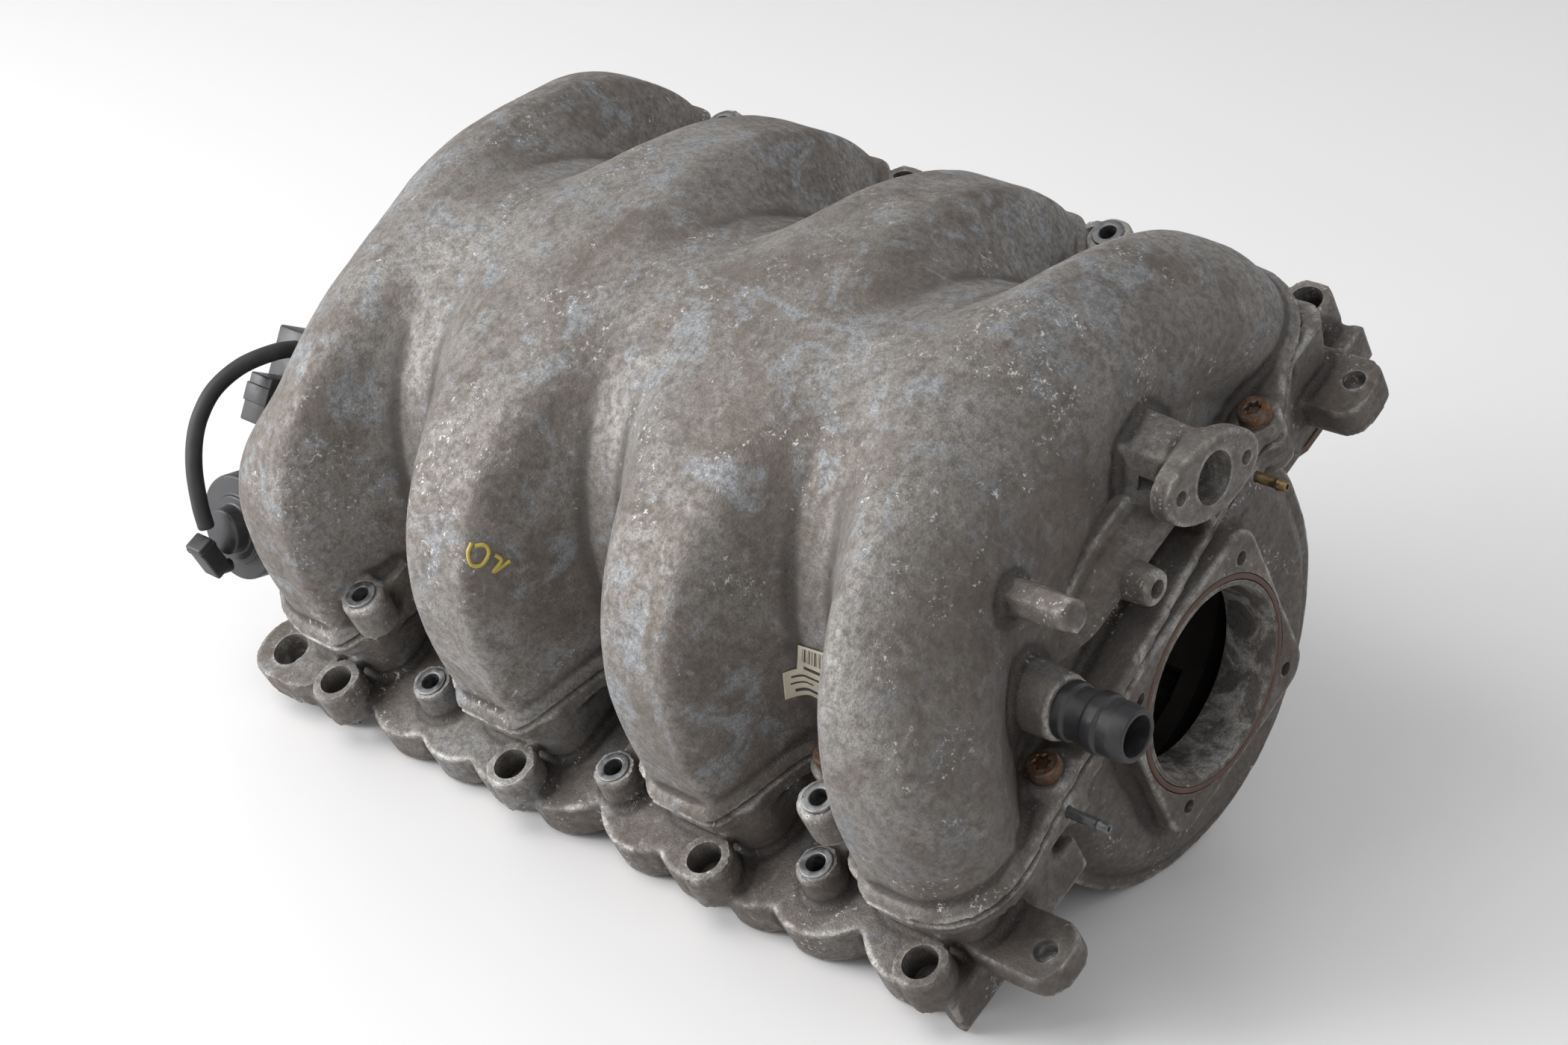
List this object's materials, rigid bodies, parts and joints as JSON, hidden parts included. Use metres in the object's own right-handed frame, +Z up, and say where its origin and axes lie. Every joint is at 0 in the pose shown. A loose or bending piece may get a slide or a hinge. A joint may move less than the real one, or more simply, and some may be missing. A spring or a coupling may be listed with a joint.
{
  "type": "intake manifold",
  "caption": "Two-bank cast intake manifold with arched runners, an inner plenum tube with tuning flaps, and a vacuum actuator.",
  "frame": {"origin": "centre of the bounding box on the plane that the part lies on", "axes": "+Z up with the part lying on its plenum drum and near flange, +Y along the crankshaft away from the throttle, +X from the near bank to the far bank"},
  "size_m": [0.3208, 0.4693, 0.2458],
  "materials": {
    "casting": "weathered cast",
    "sleeve_steel": "dull",
    "bolt_steel": "rusty",
    "shaft_steel": "satin",
    "brass": "tarnished",
    "black_plastic": "matt",
    "black_rubber": "matt",
    "seal_rubber": "matt"
  },
  "bodies": {
    "housing": {"upper_shell": "casting", "lower_shell": "casting", "port_gasket_near_1": "seal_rubber", "port_gasket_near_2": "seal_rubber", "port_gasket_near_3": "seal_rubber", "port_gasket_near_4": "seal_rubber", "port_gasket_far_1": "seal_rubber", "port_gasket_far_2": "seal_rubber", "port_gasket_far_3": "seal_rubber", "port_gasket_far_4": "seal_rubber", "seam_bolt_1": "bolt_steel", "seam_bolt_2": "bolt_steel", "seam_bolt_3": "bolt_steel", "seam_bolt_4": "bolt_steel", "seam_bolt_5": "bolt_steel", "seam_bolt_6": "bolt_steel", "seam_bolt_7": "bolt_steel", "seam_bolt_8": "bolt_steel", "flange_sleeve_1": "sleeve_steel", "flange_sleeve_2": "sleeve_steel", "flange_sleeve_3": "sleeve_steel", "flange_sleeve_4": "sleeve_steel", "flange_sleeve_5": "sleeve_steel", "flange_sleeve_6": "sleeve_steel", "tab_sleeve_1": "sleeve_steel", "tab_sleeve_2": "sleeve_steel", "tab_sleeve_3": "sleeve_steel", "tab_sleeve_4": "sleeve_steel", "throttle_seal": "seal_rubber", "breather_nozzle": "black_plastic", "vacuum_nipple_upper": "brass", "vacuum_nipple_lower": "sleeve_steel", "plenum_tube": "black_plastic", "shaft_bush_near": "brass", "shaft_bush_far": "brass", "actuator_base": "black_plastic", "actuator_cover": "black_plastic", "return_spring": "shaft_steel", "actuator_bracket": "shaft_steel", "bracket_bolt": "bolt_steel", "solenoid_valve": "black_plastic", "coil_cap": "black_plastic", "valve_connector": "black_plastic", "vacuum_hose": "black_rubber", "hose_elbow": "black_plastic"},
    "near_flaps": {"flap_shaft_near": "shaft_steel", "lever_near": "shaft_steel", "flap_near_1": "black_plastic", "flap_near_2": "black_plastic", "flap_near_3": "black_plastic", "flap_near_4": "black_plastic"},
    "far_flaps": {"flap_shaft_far": "shaft_steel", "lever_far": "shaft_steel", "flap_far_1": "black_plastic", "flap_far_2": "black_plastic", "flap_far_3": "black_plastic", "flap_far_4": "black_plastic"},
    "link": {"coupling_link": "shaft_steel"},
    "rod": {"actuator_rod": "shaft_steel", "diaphragm": "black_rubber"}
  },
  "joints": [
    {"name": "near_flap_turn", "type": "hinge", "parent": "housing", "child": "near_flaps", "pos_m": [-0.04748, 0.0106, 0.08476], "axis": [0, 1, 0], "range_deg": [0, 70], "stiffness_Nm_per_rad": 0.15, "springref_deg": -17.19},
    {"name": "far_flap_turn", "type": "hinge", "parent": "housing", "child": "far_flaps", "pos_m": [0.05064, 0.0106, 0.14475], "axis": [0, 1, 0], "range_deg": [0, 70]},
    {"name": "link_swing", "type": "hinge", "parent": "near_flaps", "child": "link", "pos_m": [-0.06398, 0.189, 0.09195], "axis": [0, 1, 0], "range_deg": [-70, 0]},
    {"name": "rod_slide", "type": "slide", "parent": "housing", "child": "rod", "axis": [-0.9983, 0, 0.0587], "range_m": [0, 0.0199]}
  ],
  "couplings": [
    {"joint": "far_flap_turn", "follows": "near_flap_turn", "ratio": 1},
    {"joint": "link_swing", "follows": "near_flap_turn", "ratio": -1},
    {"joint": "rod_slide", "follows": "near_flap_turn", "m_per_rad": 0.016244}
  ]
}
